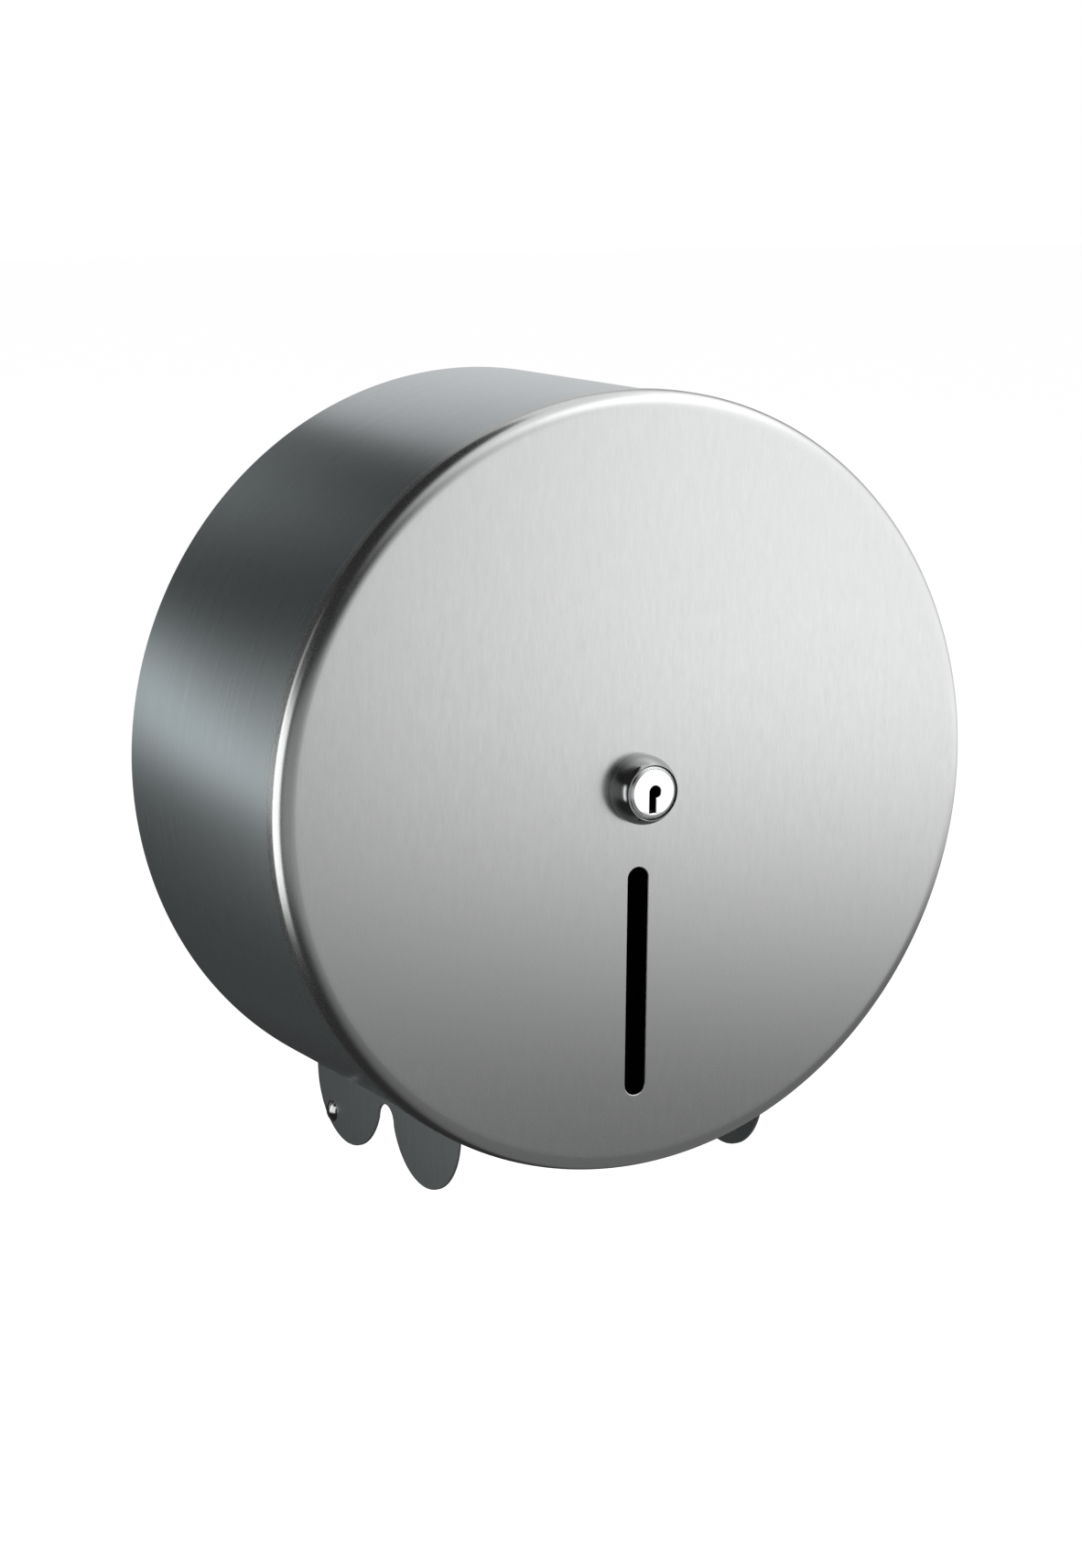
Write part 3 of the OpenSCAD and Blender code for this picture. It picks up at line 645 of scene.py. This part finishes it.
def buildDrum(settings):
    radius, sheet, front, lip, bend = (settings[key] for key in ("radius", "sheet", "front", "lip", "bend"))
    half = settings["outletHalf"]
    low, high = settings["outletBack"], settings["outletFront"]
    middle = (radius - bend, front - bend)
    depths = [0, low, *settings["rows"], high]
    outer = [(radius, a) for a in depths] + arc(middle, bend, 0, 90, settings["bendSteps"])
    inner = [(radius - lip, front), (radius - lip, front - sheet)]
    inner += arc(middle, bend - sheet, 90, 0, settings["bendSteps"])
    inner += [(radius - sheet, a) for a in reversed(depths)]
    profile = outer + inner
    # columns of the wall, with two that lie on the outlet's sides
    edgeTurn = math.asin(half / radius)
    columns = settings["outletColumns"]
    turns = [-edgeTurn + 2 * edgeTurn * i / columns for i in range(columns)]
    rest = settings["count"] - columns
    turns += [edgeTurn + (2 * math.pi - 2 * edgeTurn) * i / rest for i in range(rest)]
    shape = bmesh.new()
    grid = []
    for turn in turns:
        column = []
        for r, a in profile:
            x = r * math.sin(turn)
            if abs(abs(turn) - edgeTurn) < 1e-9 or abs(turn - 2 * math.pi + edgeTurn) < 1e-9:
                x = math.copysign(half, math.sin(turn))  # both skins meet the outlet's flat side
            z = -math.copysign(math.sqrt(max(r * r - x * x, 0)), math.cos(turn))
            column.append(shape.verts.new(spot(x, z, a)))
        grid.append(column)
    rows = len(profile)
    straight = [low <= min(a, b) and max(a, b) <= high and r == q
                for (r, a), (q, b) in zip(profile, profile[1:] + profile[:1])]
    for c in range(len(turns)):
        d = (c + 1) % len(turns)
        for i in range(rows):
            j = (i + 1) % rows
            if c >= columns or not straight[i]:
                shape.faces.new((grid[c][i], grid[d][i], grid[d][j], grid[c][j]))
    # walls round the outlet
    outIndex = [i for i, (r, a) in enumerate(profile) if r == radius and low <= a <= high]
    inIndex = [i for i, (r, a) in enumerate(profile) if r == radius - sheet and low <= a <= high][::-1]
    pairs = list(zip(outIndex, inIndex))
    for column in (grid[0], grid[columns]):
        for (o, n), (nextO, nextN) in zip(pairs, pairs[1:]):
            shape.faces.new((column[o], column[nextO], column[nextN], column[n]))
    for c in range(columns):
        for o, n in (pairs[0], pairs[-1]):
            shape.faces.new((grid[c][o], grid[c + 1][o], grid[c + 1][n], grid[c][n]))
    piece = finishPiece("drumShell", shape, [drumSteel, shadedInsideSteel])
    # faces on the inside of the drum take the painted shade
    for polygon in piece.data.polygons:
        middle = polygon.center
        reach = math.hypot(middle.x, middle.z) / mm
        if reach < radius - 0.75 * sheet and -middle.y / mm < front - 0.3:
            polygon.material_index = 1
    return piece


drumShell = buildDrum(drum)
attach(drumShell, "housing")
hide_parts("drum_wall")
print("drum built")


# tear plates

tearPlates = {
    "inner": 60.5, "outer": 61.5, "top": -118.72, "height": 24.6, "half": 25.5, "lobes": (25.9, 86),
    "archDrop": 8.6, "rivet": (12.8, -134.52), "rivetHole": 1.82, "edge": 0.14,
    "steps": 40, "archSteps": 16, "holeCount": 32, "topSlack": 0.3,
}


def lobedOutline(settings):
    # depth and height of the edge: rear lobe, arch, front lobe, then back along the top
    top, height, half, steps = (settings[key] for key in ("top", "height", "half", "steps"))
    rear, ahead = settings["lobes"]
    drop = settings["archDrop"]
    low = math.asin(drop / height)
    reach = (ahead - rear) / 2 - half * math.cos(low)

    def lobe(middle, start, end):
        turns = [start + (end - start) * i / steps for i in range(steps + 1)]
        return [(middle + half * math.cos(t), top + height * math.sin(t)) for t in turns]

    points = lobe(rear, math.pi, 2 * math.pi - low)
    points += arc(((rear + ahead) / 2, top - drop), reach, 180, 0, settings["archSteps"])[1:-1]
    return points + lobe(ahead, math.pi + low, 2 * math.pi)


def buildTearPlate(name, side, settings):
    hole = circleLoop(settings["rivetHole"], settings["holeCount"], settings["rivet"])
    outer, inner, edge = (settings[key] for key in ("outer", "inner", "edge"))
    shape = plateShape(lobedOutline(settings), [hole], outer, inner, edge)
    for vert in shape.verts:
        ahead, away, z = vert.co
        x = -away  # built in depth and height, then stood on edge at its side of the outlet
        if z > (settings["top"] - settings["topSlack"]) * mm:  # the top edge follows the drum
            z = -math.sqrt((drum["radius"] * mm) ** 2 - x * x)
        vert.co = (side * x, -ahead, z)
    return finishPiece(name, shape, [shadedPlateSteel])


for label, side in (("left", -1), ("right", 1)):
    tearPlate = buildTearPlate("tearPlate" + label.title(), side, tearPlates)
    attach(tearPlate, "housing")
    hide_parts("tear_plate_" + label)
print("tear plates built")


# lock

bezel = {"base": 12.1, "front": 9.7, "foot": 125, "land": 2, "top": 134.1, "bore": 8.1,
         "recess": 9.5, "recessDepth": 130.98, "edge": 0.2, "steps": 24}


def buildBezel(settings):
    base, foot, top, edge, recess = (settings[key] for key in ("base", "foot", "top", "edge", "recess"))
    shoulder = foot + settings["land"]
    waist = base - settings["front"]
    sweep = (waist ** 2 + (top - shoulder) ** 2) / (2 * waist)
    turn = math.degrees(math.asin((top - shoulder) / sweep))
    profile = [(settings["bore"], foot), (base - edge, foot), (base, foot + edge)]
    profile += arc((base - sweep, shoulder), sweep, 0, turn, settings["steps"])
    profile += [(recess, top), (recess, settings["recessDepth"]), (settings["bore"], settings["recessDepth"])]
    return turnedPiece("lockBezel", profile, [shadedLockChrome])


lockBezel = buildBezel(bezel)
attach(lockBezel, "cover")
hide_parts("lock_bezel")

plug = {
    "face": 8.2, "front": 134.4, "seat": 131.8, "edge": 0.5, "barrel": 6.4, "barrelEnd": 105,
    "tail": 4, "tailEnd": 101.4, "square": 5.4, "squareEnd": 99.4,
    "keyRound": 2.2, "keyCentre": (0.6, 0.3), "keyLeg": 2.6, "keyLegEnd": -7, "keyCorner": 0.45,
    "keyDepth": 14, "keyChamfer": 0.18, "count": 96, "rimSteps": 5, "roundSteps": 28, "cornerSteps": 5,
}


def keyholeOutline(settings):
    x, z = settings["keyCentre"]
    r = settings["keyRound"]
    left, right = x - r, x - r + settings["keyLeg"]
    corner = settings["keyCorner"]
    end = settings["keyLegEnd"]
    turn = math.degrees(math.acos((right - x) / r))  # where the leg's right side meets the round part
    steps = settings["cornerSteps"]
    points = arc((x, z), r, -turn, 180, settings["roundSteps"])
    points += arc((left + corner, end + corner), corner, 180, 270, steps)
    points += arc((right - corner, end + corner), corner, 270, 360, steps)
    return points


def buildPlug(settings):
    shape = bmesh.new()
    count, front, edge = (settings[key] for key in ("count", "front", "edge"))
    rim = arc((settings["face"] - edge, front - edge), edge, 90, 0, settings["rimSteps"])
    steps = rim + [(settings["face"], settings["seat"]), (settings["barrel"], settings["seat"]),
                   (settings["barrel"], settings["barrelEnd"]), (settings["tail"], settings["barrelEnd"]),
                   (settings["tail"], settings["tailEnd"])]
    loops = [addLoop(shape, circleLoop(r, count), a) for r, a in steps]
    for first, second in zip(loops, loops[1:]):
        join(shape, first, second)
    half = settings["square"] / 2
    corners = [(half, half), (-half, half), (-half, -half), (half, -half)]
    shoulder = addLoop(shape, corners, settings["tailEnd"])
    end = addLoop(shape, corners, settings["squareEnd"])
    join(shape, shoulder, end)
    shape.faces.new(end)
    fill(shape, loops[-1], [shoulder])
    keyhole = keyholeOutline(settings)
    chamfer = settings["keyChamfer"]
    mouth = addLoop(shape, grow(keyhole, chamfer), front)
    lipLoop = addLoop(shape, keyhole, front - chamfer)
    join(shape, mouth, lipLoop)
    floor = addLoop(shape, keyhole, front - settings["keyDepth"])
    join(shape, lipLoop, floor)
    fill(shape, loops[0], [mouth])
    fill(shape, floor, [])
    piece = finishPiece("lockPlug", shape, [plugChrome, shadedKeywaySteel])
    # walls and floor of the keyhole take the painted shade
    for polygon in piece.data.polygons:
        middle = polygon.center
        deep = front - settings["keyDepth"] - 0.1 < -middle.y / mm < front - 0.2
        across, up = middle.x / mm - settings["keyCentre"][0], middle.z / mm
        beside = abs(across) < settings["keyRound"] + 0.1
        level = settings["keyLegEnd"] - 0.1 < up < settings["keyRound"] + 0.5
        if deep and beside and level and math.hypot(across, up) < settings["barrel"] + 1:
            polygon.material_index = 1
    return piece


housing = {
    "bore": 6.46, "barrel": 8, "barrelEnd": 105, "headBack": 131, "root": 9.08,
    "recess": 8.26, "recessDepth": 131.74, "rimIn": (8.4, 134.12), "rimOut": (9.08, 133.66),
    "count": 144, "ridges": 72, "ridgeHalf": (0.2, 0.09),  # half widths behind and in front
    "ridge": ((8.34, 133.9), (8.34, 134.36), (9.3, 133.82), (9.38, 133.7), (9.38, 131), (8.9, 131)),
}


def repeatTree(name):
    # joins turned copies of an object to the mesh that the modifier stands on
    tree = bpy.data.node_groups.new(name, "GeometryNodeTree")
    face = tree.interface
    face.new_socket("body", in_out="INPUT", socket_type="NodeSocketGeometry")
    item = face.new_socket("item", in_out="INPUT", socket_type="NodeSocketObject")
    count = face.new_socket("count", in_out="INPUT", socket_type="NodeSocketInt")
    finish = face.new_socket("finish", in_out="INPUT", socket_type="NodeSocketMaterial")
    face.new_socket("made", in_out="OUTPUT", socket_type="NodeSocketGeometry")

    def add(kind, settings=None, sockets=None):
        node = tree.nodes.new(kind)
        for key, value in (settings or {}).items():
            setattr(node, key, value)
        for key, value in (sockets or {}).items():
            if isinstance(value, bpy.types.NodeSocket):
                tree.links.new(value, node.inputs[key])
            else:
                node.inputs[key].default_value = value
        return node

    start = add("NodeGroupInput").outputs
    source = add("GeometryNodeObjectInfo", None, {"Object": start["item"]})
    places = add("GeometryNodePoints", None, {"Count": start["count"]})
    step = add("ShaderNodeMath", {"operation": "DIVIDE"}, {0: 2 * math.pi, 1: start["count"]})
    index = add("GeometryNodeInputIndex")
    turn = add("ShaderNodeMath", {"operation": "MULTIPLY"}, {0: index.outputs[0], 1: step.outputs[0]})
    spin = add("ShaderNodeCombineXYZ", None, {"Y": turn.outputs[0]})
    copies = add("GeometryNodeInstanceOnPoints", None, {
        "Points": places.outputs[0], "Instance": source.outputs["Geometry"], "Rotation": spin.outputs[0]})
    joined = add("GeometryNodeJoinGeometry")
    tree.links.new(copies.outputs[0], joined.inputs[0])
    tree.links.new(start["body"], joined.inputs[0])
    real = add("GeometryNodeRealizeInstances", None, {"Geometry": joined.outputs[0]})
    coated = add("GeometryNodeSetMaterial", None, {"Geometry": real.outputs[0], "Material": start["finish"]})
    add("NodeGroupOutput", None, {"made": coated.outputs[0]})
    return tree, {"item": item.identifier, "count": count.identifier, "finish": finish.identifier}


def buildHousing(settings):
    profile = [(settings["bore"], settings["barrelEnd"]), (settings["barrel"], settings["barrelEnd"]),
               (settings["barrel"], settings["headBack"]), (settings["root"], settings["headBack"]),
               settings["rimOut"], settings["rimIn"], (settings["recess"], settings["rimIn"][1]),
               (settings["recess"], settings["recessDepth"]), (settings["bore"], settings["recessDepth"])]
    body = turnedPiece("lockHousing", profile, [headChrome], settings["count"])
    shape = bmesh.new()
    wide, narrow = settings["ridgeHalf"]
    sides = []
    for side in (-1, 1):
        halves = (wide, narrow, narrow, narrow, wide, wide)
        sides.append([shape.verts.new(spot(r, side * h, a)) for (r, a), h in zip(settings["ridge"], halves)])
    join(shape, *sides)
    for loop in sides:
        shape.faces.new(loop)
    ridge = finishPiece("lockRidge", shape, [headChrome])
    tree, keys = repeatTree("ridgesRoundHead")
    live = body.modifiers.new("ridges", "NODES")
    live.node_group = tree
    for key, value in (("item", ridge), ("count", settings["ridges"]), ("finish", headChrome)):
        live[keys[key]] = value
    bpy.context.view_layer.update()
    made = bpy.data.meshes.new_from_object(body.evaluated_get(bpy.context.evaluated_depsgraph_get()))
    body.modifiers.clear()
    body.data = made
    bpy.data.objects.remove(ridge)
    return body


lockHousing = buildHousing(housing)
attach(lockHousing, "cover")
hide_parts("lock_housing")

lockPlug = buildPlug(plug)
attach(lockPlug, "lock_core")
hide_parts("lock_plug")
print("lock built")


scene.cycles.use_denoising = True
